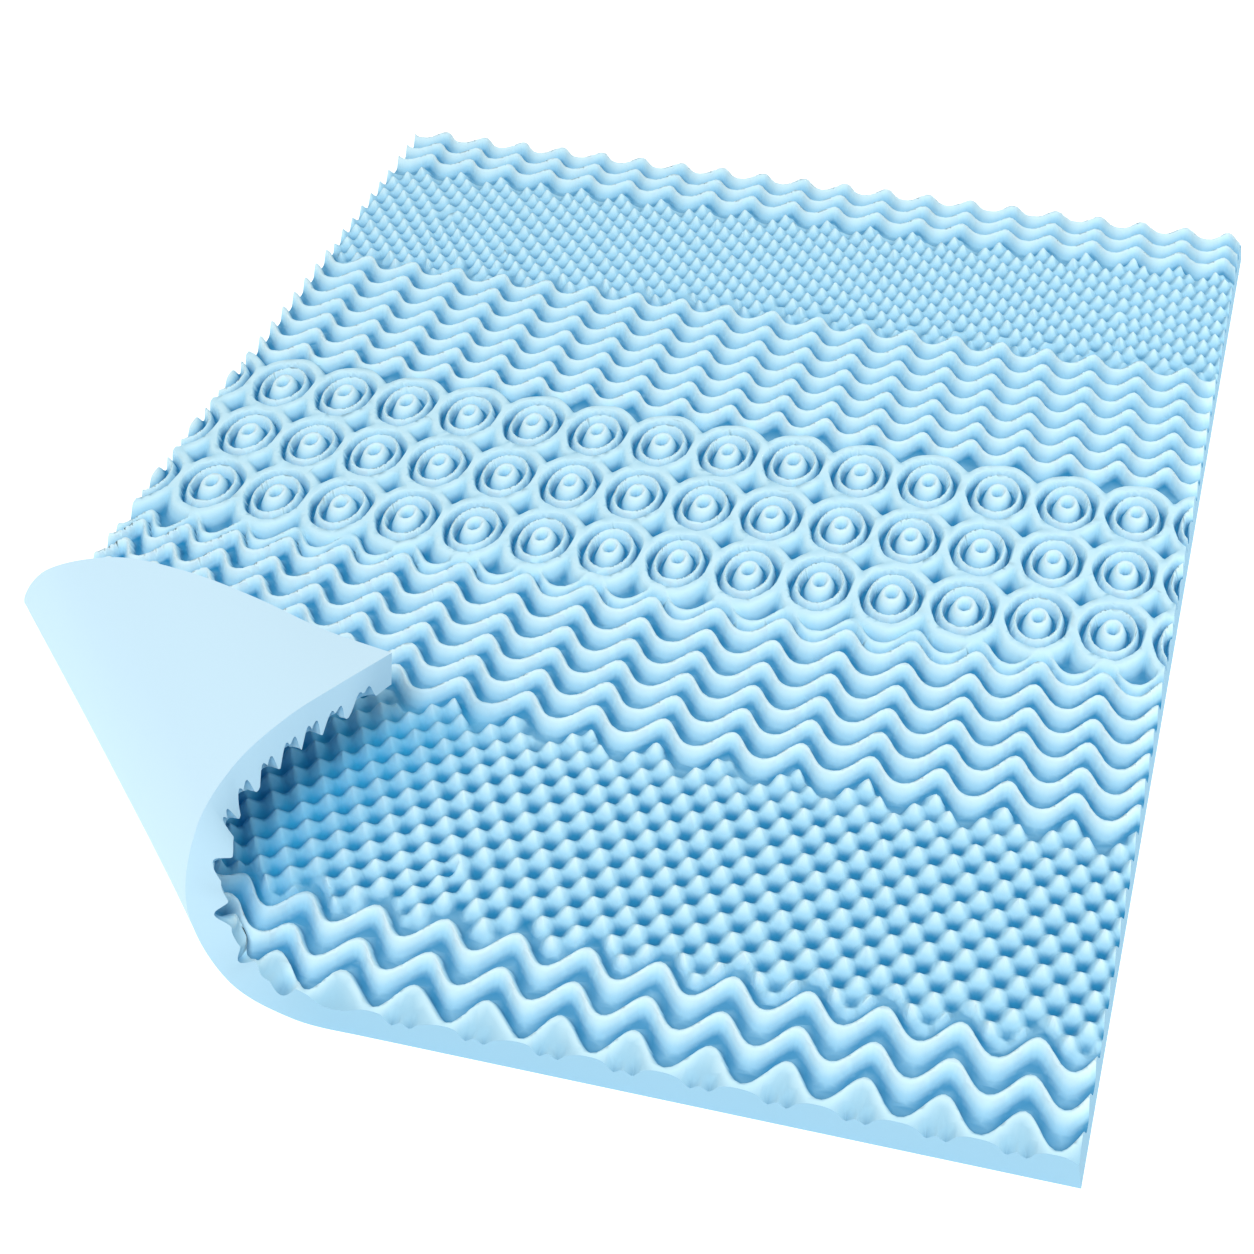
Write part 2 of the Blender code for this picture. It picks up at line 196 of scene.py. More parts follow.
@dataclass
class WaveBand:
    """A band of ridges that run from side to side and swing to and fro together.

    first is the Y of the first ridge's middle line, swing is half the to-and-fro, far_x is the
    right-most swing away from the curl and wave the distance from one such swing to the next.
    growth is how much longer each wave is than the last, and stretch and squeeze change that
    towards the left. skew and skew_growth are the shift in X from ridge to ridge, and blunt how
    much wider the near swings are than the far ones. tilt lifts the right end, and rise the first
    ridge from rise_from to the left. fall lowers the left end. first_swing and first_lean are what
    the first ridge swings more and how far its near swings lean to the right next to the curl.
    cuts are the wall before it, if one cuts it off.
    """

    first: float
    pitch: float
    ridges: int
    swing: float
    far_x: float
    wave: float
    growth: float = 0.0
    stretch: float = 0.0
    squeeze: float = 0.0
    skew: float = 0.0
    skew_growth: float = 0.0
    blunt: float = 0.12
    sharp: float = 0.14  # how much narrower the crests are than the grooves
    tilt: float = 0.0
    tilt_from: float = 500.0
    rise: float = 0.0
    rise_from: float = 250.0
    rise_to: float = -200.0
    rise_ridges: float = 8.0  # the ridge that no longer rises
    fall: float = 0.0
    fall_from: float = -200.0
    first_swing: float = 0.0
    first_lean: float = 0.0
    lean_from: float = 300.0
    lean_in: float = 200.0
    cuts: WallCuts | None = None

    def turn(self, x: np.ndarray, ridge: np.ndarray | float) -> np.ndarray:
        """How far round its swings a ridge is at x: whole turns at far swings.

        Args:
            x: X of the places.
            ridge: The ridge's number, which may lie between two.

        Returns:
            The angle, which grows to the left.
        """
        turns = np.linspace(-4.0, 24.0, 281)  # past both edges, with ten steps to a swing
        waves = self.wave + turns * (self.growth + turns * (self.stretch + turns * self.squeeze))
        swings = np.minimum.accumulate(self.far_x - turns * waves) - 1e-6 * turns
        skew = self.skew + self.skew_growth * (self.far_x - x) / self.wave
        angle = TURN * np.interp(skew * ridge - x, -swings, turns)
        if self.first_lean:
            lean = self.first_lean * ease(1.0 - ridge) * ease((self.lean_from - x) / self.lean_in)
            angle = angle + 0.5 * lean * (1.0 - np.cos(angle))
        return angle

    def zigzag(self, x: np.ndarray, ridge: np.ndarray | float) -> np.ndarray:
        """The swing of a ridge at x: 1 and more at a far swing and about -1 at a near one."""
        angle = self.turn(x, ridge)
        return np.cos(angle) + self.blunt * np.cos(2 * angle)

    def middle(self, x: np.ndarray, ridge: np.ndarray | float) -> np.ndarray:
        """How far a ridge's middle line is off its straight course at x.

        Args:
            x: X of the places.
            ridge: The ridge's number, which may lie between two.

        Returns:
            The distance in Y.
        """
        left = np.clip(self.rise_from - x, 0.0, self.rise_from - self.rise_to)
        rise = self.rise * np.clip(1.0 - ridge / self.rise_ridges, 0.0, 1.0) * left**2
        fall = self.fall * np.minimum(x - self.fall_from, 0.0) ** 2
        return self.tilt * (x - self.tilt_from) + rise - fall

    def line(self, x: np.ndarray, ridge: int) -> np.ndarray:
        """Y of a ridge's middle line at x."""
        return self.first + self.pitch * ridge + self.middle(x, ridge)

    def number(self, x: np.ndarray, y: np.ndarray) -> np.ndarray:
        """How many ridges past the first a place is.

        Args:
            x: X of the places.
            y: Y of the places.

        Returns:
            The number: a whole one is on a crest, and a half is in a groove.
        """
        ridge = (y - self.first) / self.pitch
        for _ in range(2):
            swing = self.swing + self.first_swing * ease(1.0 - ridge)
            off = y - self.first - self.middle(x, ridge) - swing * self.zigzag(x, ridge)
            ridge = off / self.pitch
        return ridge

    def relief(self, x: np.ndarray, y: np.ndarray) -> np.ndarray:
        """The band's height over its grooves.

        Args:
            x: X of the places.
            y: Y of the places.

        Returns:
            The height, from 0 to 1, and 0 outside the band.
        """
        number = self.number(x, y)
        inside = (number > -0.5) & (number < self.ridges - 0.5)
        angle = TURN * (number - np.round(number))
        crest = np.cos(angle) + self.sharp * np.cos(2 * angle)
        height = np.where(inside, (crest + (1.0 - self.sharp)) / 2.0, 0.0)
        if self.cuts:
            height = np.where(number < 0.0, self.cuts.apron(x, number), height)
            height = height * (1.0 - self.cuts.depth(x, y))
        return height

    def past_low(self, x: np.ndarray, y: np.ndarray) -> np.ndarray:
        """Millimetres past the groove on the band's near side, less than 0 before it."""
        return (self.number(x, y) + 0.5) * self.pitch

    def past_high(self, x: np.ndarray, y: np.ndarray) -> np.ndarray:
        """Millimetres past the groove on the band's far side, less than 0 before it."""
        return (self.number(x, y) - self.ridges + 0.5) * self.pitch


@dataclass
class Slip:
    """A place from which the rows and columns of points have slipped past each other.

    rows is 1 or -1, for the way that the rows slip, and reach how far to the sides it shows.
    """

    x: float
    y: float
    rows: float
    reach: float = 150.0

    def share(self, x: np.ndarray, y: np.ndarray) -> np.ndarray:
        """How much of a step has slipped: up to a half on either side."""
        turn = np.arctan2(x - self.x, y - self.y) / TURN
        return turn * np.exp(-np.abs(x - self.x) / self.reach)


@dataclass
class Worn:
    """A place where the points are rubbed flat: its middle, its size and how much is gone."""

    x: float
    y: float
    size: float
    gone: float = 0.6
    seed: int = 600
    pace: float = 34.0

    def rub(self, points: np.ndarray, x: np.ndarray, y: np.ndarray) -> np.ndarray:
        """Rubs the points flat.

        Args:
            points: Their heights, from 0 to 1.
            x: X of the places.
            y: Y of the places.

        Returns:
            The heights that are left.
        """
        near = np.exp(-((x - self.x) ** 2 + (y - self.y) ** 2) / self.size**2)
        uneven = 0.5 + 0.2 * drift(x, y, self.seed, self.pace)
        return points * (1 - self.gone * near) + self.gone * near * uneven


@dataclass
class PointBand:
    """A band of points in rows, each row half a step along from the last.

    x and y place one point, step_x and step_y are half the spacing and step_right the one right of
    x. curve is the rise of the rows to the left of from_x, spread how much further apart they are
    there, and fan how much the columns spread with Y. far_rise, far_from and far_tilt are the rise
    of the rows to the right. cone is how pointed the points are, and uneven how irregular.
    """

    x: float
    y: float
    step_x: float
    step_y: float
    step_right: float
    curve: float = 0.0
    spread: float = 0.0
    from_x: float = 560.0
    fan: float = 0.0
    far_rise: float = 0.0
    far_from: float = 230.0
    far_in: float = 280.0
    far_tilt: float = 0.0
    cone: float = 0.7
    uneven: float = 0.04
    pace: float = 160.0  # how far it is from one irregularity to the next
    slips: tuple[Slip, ...] = ()
    worn: tuple[Worn, ...] = ()

    def relief(self, x: np.ndarray, y: np.ndarray) -> np.ndarray:
        """Height of the points over the hollows between them.

        Args:
            x: X of the places.
            y: Y of the places.

        Returns:
            The height, from 0 to 1.
        """
        past = self.from_x - x
        rise = self.curve * past**2 * (past > 0)
        rise = rise + self.far_rise * ease((x - self.far_from) / self.far_in)
        rise = rise + self.far_tilt * np.maximum(-past, 0)
        left = self.x - x
        step = np.where(left > 0, self.step_x, self.step_right)
        column = left * (1.0 + self.fan * (y - self.y)) / step
        row = (self.y + rise - y) / (self.step_y + self.spread * past)
        for slip in self.slips:
            share = slip.share(x, y)
            column = column + share
            row = row + slip.rows * share
        column = column + self.uneven * drift(x, y, seed=11, pace=self.pace)
        row = row + self.uneven * drift(x, y, seed=12, pace=self.pace)
        lattice = 0.5 - 0.5 * np.cos(math.pi * column) * np.cos(math.pi * row)
        slope = (np.sqrt(lattice + 0.012) - 0.11) / 0.896  # 0 to 1, rounded at a point's tip
        points = 1.0 - self.cone * slope - (1.0 - self.cone) * lattice**2
        for place in self.worn:
            points = place.rub(points, x, y)
        return points


@dataclass
class RingBand:
    """Rows of oval rings, each round a dimpled hub, with a flat web round each and pits between.

    profile lists (share of the ring spacing, height) from a hub's middle to the middle of a pit.
    blend is how softly two rings meet, three_kinks and seven_kinks are how far the web's edge
    bulges in three and in seven places, and uneven is how irregular the rings are.
    """

    step_x: float = 103.58
    step_y: float = 136.7
    x: float = -670.5
    y: float = 23.0
    rows: int = 1
    oval: float = 0.91  # how much longer the inner rings are than their spacing would make them
    oval_to: float = 0.32
    oval_out: float = 0.14
    blend: float = 0.03
    three_kinks: float = 0.012
    seven_kinks: float = 0.008
    kinks_from: float = 0.34
    kinks_in: float = 0.1
    uneven: float = 0.004
    pace: float = 120.0
    profile: tuple[tuple[float, float], ...] = (
        (0.0, 34.0),
        (0.115, 54.0),
        (0.245, 32.0),
        (0.308, 50.0),
        (0.390, 32.0),
        (0.462, 50.0),
        (0.525, 50.0),
        (0.700, 22.0),
    )

    def out(self, dx: np.ndarray, dy: np.ndarray) -> np.ndarray:
        """How far out from a hub's middle places are, along the ovals.

        Args:
            dx: Ring spacings from the hub in X.
            dy: Ring spacings from the hub in Y.

        Returns:
            The distance, as a share of the spacing.
        """
        angle = np.arctan2(dy, dx)
        wide = ease((np.hypot(dx, dy) - self.oval_to) / self.oval_out)
        out = np.hypot(dx, dy * (self.oval + (1.0 - self.oval) * wide))
        kinks = self.three_kinks * np.cos(3 * angle + 1.0) + self.seven_kinks * np.cos(7 * angle)
        return out + kinks * ease((out - self.kinks_from) / self.kinks_in)

    def height(self, x: np.ndarray, y: np.ndarray) -> np.ndarray:
        """Foam height of the rings. Past the last rows it falls away to the pits' height.

        Args:
            x: X of the places.
            y: Y of the places.

        Returns:
            The heights.
        """
        column = (x - self.x) / self.step_x
        row = (y - self.y) / self.step_y
        total = np.zeros_like(column)
        first_column, first_row = np.floor(column), np.floor(row)
        for i in (0, 1):
            for j in (0, 1):
                this_row = first_row + j
                inside = np.abs(this_row) <= self.rows
                out = self.out(column - first_column - i, row - this_row)
                total = total + np.where(inside, np.exp(-np.minimum(out, 2.0) / self.blend), 0.0)
        share = -self.blend * np.log(np.maximum(total, 1e-60))
        share = share + self.uneven * drift(x, y, seed=21, pace=self.pace)
        height = np.full_like(share, self.profile[0][1])
        for (start, low), (end, high) in zip(self.profile, self.profile[1:]):
            part = np.clip((share - start) / (end - start), 0, 1)
            height = height + (high - low) * (0.5 - 0.5 * np.cos(math.pi * part))
        return height


def front_band() -> WaveBand:
    """The waves at the near wall."""
    return WaveBand(
        first=-991.0,
        pitch=55.0,
        ridges=3,
        swing=20.4,
        far_x=687.0,
        wave=89.4,
        blunt=0.05,
        first_swing=2.0,
        first_lean=0.7,
        cuts=WallCuts(),
    )


def near_band() -> WaveBand:
    """The waves on the rings' near side."""
    return WaveBand(
        first=-471.8,
        pitch=48.6,
        ridges=6,
        swing=20.2,
        far_x=672.5,
        wave=86.6,
        growth=0.60,
        stretch=0.0475,
        squeeze=-0.00478,
        skew=1.0,
        skew_growth=0.16,
        rise=8e-5,
        fall=8.5e-5,
    )


def far_band() -> WaveBand:
    """The waves on the rings' far side."""
    return WaveBand(
        first=267.5,
        pitch=47.1,
        ridges=7,
        swing=17.5,
        far_x=707.5,
        wave=73.8,
        growth=0.19,
        tilt=0.008,
    )


def back_band() -> WaveBand:
    """The waves at the far wall."""
    return WaveBand(first=911.0, pitch=42.7, ridges=3, swing=15.0, far_x=735.5, wave=75.9)


def near_point_band() -> PointBand:
    """The points between the near two bands of waves."""
    return PointBand(
        x=674.0,
        y=-547.5,
        step_x=22.0,
        step_y=25.0,
        step_right=22.15,
        curve=1.13e-4,
        spread=0.0012,
        from_x=630.0,
        fan=0.00014,
        slips=(Slip(-50.0, -765.0, -1.0),),
    )


def far_point_band() -> PointBand:
    """The points between the far two bands of waves."""
    return PointBand(
        x=503.0,
        y=835.0,
        step_x=18.9,
        step_y=22.1,
        step_right=20.1,
        far_rise=8.0,
        far_tilt=0.085,
        slips=(
            Slip(586.0, 705.0, 1.0),
            Slip(-600.0, 745.0, 1.0, 90.0),
            Slip(-465.0, 645.0, -1.0, 90.0),
        ),
        worn=(Worn(-600.0, 742.0, 26.0),),
    )


@dataclass
class Relief:
    """The whole top: seven bands, each running into the next.

    The rim is the rounded ridge that closes the rings on their near side. It follows the last near
    ridge, rim_gap beyond it.
    """

    front: WaveBand = field(default_factory=front_band)
    near: WaveBand = field(default_factory=near_band)
    far: WaveBand = field(default_factory=far_band)
    back: WaveBand = field(default_factory=back_band)
    near_points: PointBand = field(default_factory=near_point_band)
    far_points: PointBand = field(default_factory=far_point_band)
    rings: RingBand = field(default_factory=RingBand)
    rim_gap: float = 28.0
    rim_half: float = 22.0
    rim_share: float = 0.86
    rings_from: float = -260.0
    rings_to: float = 300.0
    run_in: float = 15.0  # how far the points grow to their full height
    rim_blend: float = 6.0
    ring_blend: float = 10.0
    sway: float = 0.8  # how far the whole pattern wanders
    swell: float = 0.4  # how far its height does
    worn_down: float = 1.0

    def rim(self, x: np.ndarray, y: np.ndarray) -> np.ndarray:
        """Foam height of the rim.

        Args:
            x: X of the places.
            y: Y of the places.

        Returns:
            The heights, and the grooves' height away from it.
        """
        last = self.near.ridges - 1
        swing = self.near.swing * self.near.zigzag(x, last)
        off = np.abs(y - (self.near.line(x, last) + self.rim_gap + swing))
        rounded = 0.5 + 0.5 * np.cos(math.pi * np.clip(off / self.rim_half, 0, 1))
        return VALLEY + self.rim_share * RELIEF * rounded

    def height(self, x: np.ndarray, y: np.ndarray) -> np.ndarray:
        """Foam height at places of the plan.

        Args:
            x: X of the places.
            y: Y of the places.

        Returns:
            The heights, from the underside.
        """
        x = x + self.sway * drift(x, y, seed=31, pace=420.0)
        y = y + self.sway * drift(x, y, seed=32, pace=380.0)
        waves = sum(band.relief(x, y) for band in (self.front, self.near, self.far, self.back))
        after_front = ease(self.front.past_high(x, y) / self.run_in)
        before_near = ease(-self.near.past_low(x, y) / self.run_in)
        after_far = ease(self.far.past_high(x, y) / self.run_in)
        before_back = ease(-self.back.past_low(x, y) / self.run_in)
        points = self.near_points.relief(x, y) * (after_front * before_near)
        points = points + self.far_points.relief(x, y) * (after_far * before_back)
        bands = VALLEY + RELIEF * (waves + points)
        middle = (y > self.rings_from) & (y < self.rings_to)
        rings = np.where(middle, self.rings.height(x, y), VALLEY)
        height = soft_max(soft_max(bands, self.rim(x, y), self.rim_blend), rings, self.ring_blend)
        return height - self.worn_down + self.swell * drift(x, y, seed=41, pace=90.0)


# ---- the curl ---------------------------------------------------------------------------------
class Line(NamedTuple):
    """Where the two ends of one line go: f from the near edge and g from the left one."""

    fx: float
    fy: float
    fz: float
    gx: float
    gy: float
    gz: float


@dataclass
class Curl:
    """The near left corner, bent up and over along parallel lines.

    lines says where each line goes, on the outer face. The first stays on the floor and the last
    is the corner itself. Right of from_x and beyond from_y the edges lie flat.
    """

    from_x: float = -80.0
    from_y: float = -309.0
    lean: float = 8.0  # how far the right wall leans in at its top
    lean_band: float = 60.0
    pull_x: float = 25.8  # how far the near wall is pulled along at its top, where it is curled
    pull_y: float = -13.6  # and how far out
    pull_band: float = 80.0
    pull_from: float = 0.1  # the shares of the curl where the pull starts, is whole and ends
    pull_in: float = 0.3
    pull_out: float = 0.12
    cover_reach: float = 180.0  # how far beyond the flap's edge its shade ends
    cover_in: float = 230.0
    cover_near: float = 20.0  # how far from the near wall it starts
    cover_deep: float = 160.0
    cover_past: float = 1.4  # how much shorter it is beyond the flap's far edge
    probe: float = 4.0
    lines: tuple[Line, ...] = (
        Line(-80, -1016, 0, -762, -309, 0),
        Line(-167, -1017, 7, -760, -410, 24),
        Line(-249, -1005, 38, -765, -497, 97),
        Line(-304, -970, 108, -709, -512, 179),
        Line(-314, -901, 171, -610, -499, 211),
        Line(-302, -811, 194, -506, -502, 211),
        Line(-272, -722, 199, -404, -514, 197),
        Line(-238, -636, 189, -303, -533, 180),
        Line(-204, -549, 175, -204, -549, 175),
    )

    def shares(self, x: np.ndarray, y: np.ndarray) -> tuple[np.ndarray, np.ndarray]:
        """How far from the corner places are along X and Y, as shares of the curl's two sides."""
        return (x + EDGE_X) / (self.from_x + EDGE_X), (y + EDGE_Y) / (self.from_y + EDGE_Y)

    def ends(self, share: np.ndarray) -> tuple[np.ndarray, np.ndarray]:
        """The two ends of the lines at shares of the way to the corner.

        Args:
            share: Shares, 0 on the first line and 1 at the corner.

        Returns:
            The near edge's ends and the left edge's ends, as arrays of points.
        """
        rows = np.array(self.lines, float)
        spans = len(rows) - 1
        flat = np.array([-EDGE_X - self.from_x, 0, 0, 0, -EDGE_Y - self.from_y, 0]) / spans
        slopes = np.vstack([flat, (rows[2:] - rows[:-2]) / 2, rows[-1] - rows[-2]])
        t = np.clip(share, 0.0, 1.0) * spans
        i = np.minimum(t.astype(int), spans - 1)
        u = (t - i)[:, None]
        both = (
            (2 * u**3 - 3 * u**2 + 1) * rows[i]
            + (u**3 - 2 * u**2 + u) * slopes[i]
            + (3 * u**2 - 2 * u**3) * rows[i + 1]
            + (u**3 - u**2) * slopes[i + 1]
        )
        return both[:, :3], both[:, 3:]

    def face(self, x: np.ndarray, y: np.ndarray) -> np.ndarray:
        """Where the underside's places go, in the curl or out of it.

        Args:
            x: X of the places.
            y: Y of the places.

        Returns:
            The points, as an array.
        """
        u, v = self.shares(x, y)
        reach = u + v
        along = v / np.maximum(reach, 1e-9)
        f, g = self.ends(1.0 - reach)
        bent = f + (g - f) * along[:, None]
        flat = np.column_stack([x, y, np.zeros_like(x)])
        return np.where((reach < 1.0)[:, None], bent, flat)

    def bend(self, x: np.ndarray, y: np.ndarray, height: np.ndarray) -> np.ndarray:
        """Moves places of the flat slab to where they are in the curled one.

        Args:
            x: X of the places.
            y: Y of the places.
            height: Their height in the slab.

        Returns:
            The points, as an array.
        """
        lean = self.lean * np.clip((x - EDGE_X + self.lean_band) / self.lean_band, 0, 1) ** 2
        u, v = self.shares(x, y)
        curled = 1.0 - u - v
        pull = ease((curled - self.pull_from) / self.pull_in) * ease((1.0 - curled) / self.pull_out)
        pull = pull * ease((self.pull_band - y - EDGE_Y) / self.pull_band)
        run = np.asarray(height, float) / CREST
        x, y = x + (self.pull_x * pull - lean) * run, y + self.pull_y * pull * run
        return self.face(x, y) + self.normal(x, y) * run[:, None] * CREST

    def normal(self, x: np.ndarray, y: np.ndarray) -> np.ndarray:
        """The direction from the underside into the foam, read a little way in from the edges.

        Args:
            x: X of the places.
            y: Y of the places.

        Returns:
            The directions, as an array.
        """
        step = self.probe
        x = np.clip(x, -EDGE_X + 3 * step, None)
        y = np.clip(y, -EDGE_Y + 3 * step, None)
        along_x = self.face(x + step, y) - self.face(x - step, y)
        along_y = self.face(x, y + step) - self.face(x, y - step)
        return unit(np.cross(along_x, along_y))

    def covered(self, points: np.ndarray, y: np.ndarray) -> np.ndarray:
        """How much painted shade places near and under the curled flap get, from 0 in the open to
        1.

        Args:
            points: The places, after the bending.
            y: Their Y before it.

        Returns:
            The share for each place.
        """
        over, tip = np.array(self.lines[3:]), self.lines[-1]
        near_x, near_y, far_x, far_y = over[:, 0], over[:, 1], over[:, 3], over[:, 4]
        right = points[:, 0] - np.interp(points[:, 1], near_y, near_x)
        past = points[:, 1] - np.interp(points[:, 0], far_x, far_y)
        past = np.where(points[:, 0] > tip.fx, points[:, 1] - tip.fy, past)
        out = np.maximum(right, self.cover_past * past)
        within = ease((self.cover_reach - out) / self.cover_in)
        return within * ease((y + EDGE_Y - self.cover_near) / self.cover_deep)

    def inside(self, x: float, y: float, margin: float) -> bool:
        """Whether a place is in the curl, or within a margin of it."""
        u, v = self.shares(x, y)
        return u + v < 1.0 + margin


# ---- the slab's mesh --------------------------------------------------------------------------
class Side(Enum):
    """The four cut walls, in order round the slab, anticlockwise from above.

    The value is the direction along the wall.
    """

    NEAR = (1.0, 0.0)
    RIGHT = (0.0, 1.0)
    FAR = (-1.0, 0.0)
    LEFT = (0.0, -1.0)


class Face(Enum):
    """The kinds of face, in the order that the mesh holds them."""

    TOP = 0
    UNDER = 1
    WALL = 2


@dataclass
class PaintedShading:
    """Painted shade and painted highlight for the moulded foam, from its height and from how far it
    stands out: hollows get painted shade and ridges a painted highlight.

    Each place is compared with a circle round it, and read a little way beyond it, so that the
    slopes on the near side get a painted highlight, as if lit from the front.
    """

    circle: float = 12.0
    # painted highlight on the near slopes: the shading is read this far ahead, as if lit from the
    # front
    ahead: float = 2.5
    stand_out: float = 7.0  # standing out this far counts as much as half the relief
    contrast: float = 0.25
    near_gain: float = 1.04
    far_loss: float = 0.18
    loss_from: float = 100.0
    loss_in: float = 400.0
    pit_shade_gain: float = 0.4  # how much stronger the painted shade is in the hollows between the near points
    points_from: float = -850.0
    points_in: float = 40.0
    points_to: float = -530.0
    ring_loss: float = 0.05  # how much darker the rings are painted
    rings_from: float = -190.0
    rings_to: float = 230.0
    fade: float = 30.0

    def at(self, relief: Relief, x: np.ndarray, y: np.ndarray) -> np.ndarray:
        """The painted shade and highlight of places of the plan.

        Args:
            relief: The slab's top.
            x: X of the places.
            y: Y of the places.

        Returns:
            0 and less in pits, 0.5 on slopes and 1 and more on ridges.
        """
        y = y + self.ahead
        height = relief.height(x, y)
        turns = np.arange(8) * math.pi / 4
        circle = [(x + self.circle * math.cos(a), y + self.circle * math.sin(a)) for a in turns]
        around = sum(relief.height(*place) for place in circle) / 8
        loss = self.far_loss * ease((y - self.loss_from) / self.loss_in)
        contrast = self.contrast * (self.near_gain - loss)
        level = (height - (VALLEY + RELIEF / 2)) / (RELIEF / 2)
        painted_shading = contrast * (level + (height - around) / self.stand_out)
        points = ease((self.points_to - y) / self.fade)
        points = points * ease((y - self.points_from) / self.points_in)
        rings = ease((y - self.rings_from) / self.fade) * ease((self.rings_to - y) / self.fade)
        painted_shading = painted_shading * np.where(painted_shading < 0, 1.0 + self.pit_shade_gain * points, 1.0)
        return 0.5 + painted_shading - self.ring_loss * rings


@dataclass
class Slab:
    """The foam slab as one closed mesh."""

    grid: float = 3.0  # spacing of the plan before it is thinned
    quick_grid: float = 7.0
    triangles: int = 184_000  # what the top keeps after thinning
    middle: tuple[float, float, float] = (-1.94, -0.59, 0.0)  # of the curled slab's box
    curl_steps: int = 44  # steps of the underside's mesh from the curl's first line to the corner
    flat_grid: float = 120.0  # spacing of its mesh where it is flat
    flat_margin: float = 0.04  # how far from the curl that starts
    probe: float = 0.8  # how far apart the top is read for its normals
    wall_probe: float = 3.0
    curl_shade_share: float = 0.72  # how much of the painted shade colour shows where the curled flap shuts the foam in
    curled_wall_light: float = 0.55  # how much of the underside's colour the curled walls get, as painted light
    paler_from: float = 0.02  # the shares of the curl between which they get it
    paler_in: float = 0.4
    apron_share: float = 0.6  # how much of the walls' colour the foam next to them has
    apron_ridges: float = 0.4  # how far in it gets that in front of the first ridge
    apron_reach: float = 20.0  # and how far in on the curl, in millimetres
    relief: Relief = field(default_factory=Relief)
    curl: Curl = field(default_factory=Curl)
    painted_shading: PaintedShading = field(default_factory=PaintedShading)

    def plan_mesh(self) -> bpy.types.Object:
        """The top as a mesh over the flat plan, from a fine grid thinned where it is plain.

        Returns:
            The object, in millimetres, with its rim left as it was.
        """
        step = self.grid
        xs = np.linspace(-EDGE_X, EDGE_X, round(2 * EDGE_X / step) + 1)
        ys = np.linspace(-EDGE_Y, EDGE_Y, round(2 * EDGE_Y / step) + 1)
        x, y = (a.ravel() for a in np.meshgrid(xs, ys))
        points = np.column_stack([x, y, self.relief.height(x, y)])
        index = np.arange(len(points)).reshape(len(ys), len(xs))
        a, b, c, d = index[:-1, :-1], index[:-1, 1:], index[1:, 1:], index[1:, :-1]
        odd = (np.add.outer(np.arange(len(ys) - 1), np.arange(len(xs) - 1)) % 2).astype(bool)
        one = np.where(odd[..., None], np.stack([a, b, c], -1), np.stack([a, b, d], -1))
        two = np.where(odd[..., None], np.stack([a, c, d], -1), np.stack([b, c, d], -1))
        faces = np.concatenate([one.reshape(-1, 3), two.reshape(-1, 3)])
        mesh = bpy.data.meshes.new("plan")
        mesh.vertices.add(len(points))
        mesh.vertices.foreach_set("co", points.astype(np.float32).ravel())
        mesh.loops.add(faces.size)
        mesh.loops.foreach_set("vertex_index", faces.astype(np.int32).ravel())
        mesh.polygons.add(len(faces))
        mesh.polygons.foreach_set("loop_start", np.arange(0, faces.size, 3, dtype=np.int32))
        mesh.update(calc_edges=True)
        plan = bpy.data.objects.new("plan", mesh)
        bpy.context.scene.collection.objects.link(plan)
        close = 0.1
        rim = (np.abs(x) > EDGE_X - close) | (np.abs(y) > EDGE_Y - close)
        self.thin(plan, np.flatnonzero(~rim).tolist(), self.triangles / len(faces))
        return plan

    @staticmethod
    def thin(plan: bpy.types.Object, inner: list[int], ratio: float) -> None:
        """Thins a mesh where it is plain.

        Args:
            plan: The object.
            inner: The points that may go.
            ratio: The share of its triangles that stay.
        """
        plan.vertex_groups.new(name="inner").add(inner, 1.0, "REPLACE")
        modifier = plan.modifiers.new("thin", "DECIMATE")
        modifier.ratio = ratio
        modifier.vertex_group = "inner"
        modifier.vertex_group_factor = 1.0
        with bpy.context.temp_override(object=plan, active_object=plan, selected_objects=[plan]):
            bpy.ops.object.modifier_apply(modifier=modifier.name)

    def top(self) -> tuple[np.ndarray, np.ndarray]:
        """The top over the flat plan.

        Returns:
            Its places, with their heights, and its triangles, facing up.
        """
        plan = self.plan_mesh()
        mesh = plan.data
        points = np.empty(len(mesh.vertices) * 3, np.float32)
        mesh.vertices.foreach_get("co", points)
        points = points.reshape(-1, 3).astype(float)
        mesh.calc_loop_triangles()
        faces = np.empty(len(mesh.loop_triangles) * 3, np.int32)
        mesh.loop_triangles.foreach_get("vertices", faces)
        bpy.data.objects.remove(plan)
        bpy.data.meshes.remove(mesh)
        points[:, 2] = self.relief.height(points[:, 0], points[:, 1])
        return points, faces.reshape(-1, 3)

    @staticmethod
    def around(x: np.ndarray, y: np.ndarray) -> list[list[int]]:
        """The places on each wall in order, corner to corner.

        Args:
            x: X of the places.
            y: Y of the places.

        Returns:
            For each side, the indices along it, with both corners.
        """
        on_wall = 0.01
        sides = {
            Side.NEAR: (np.abs(y + EDGE_Y) < on_wall, x),
            Side.RIGHT: (np.abs(x - EDGE_X) < on_wall, y),
            Side.FAR: (np.abs(y - EDGE_Y) < on_wall, -x),
            Side.LEFT: (np.abs(x + EDGE_X) < on_wall, -y),
        }
        found = []
        for side in Side:
            on, along = sides[side]
            places = np.flatnonzero(on)
            found.append(places[np.argsort(along[places])].tolist())
        return found

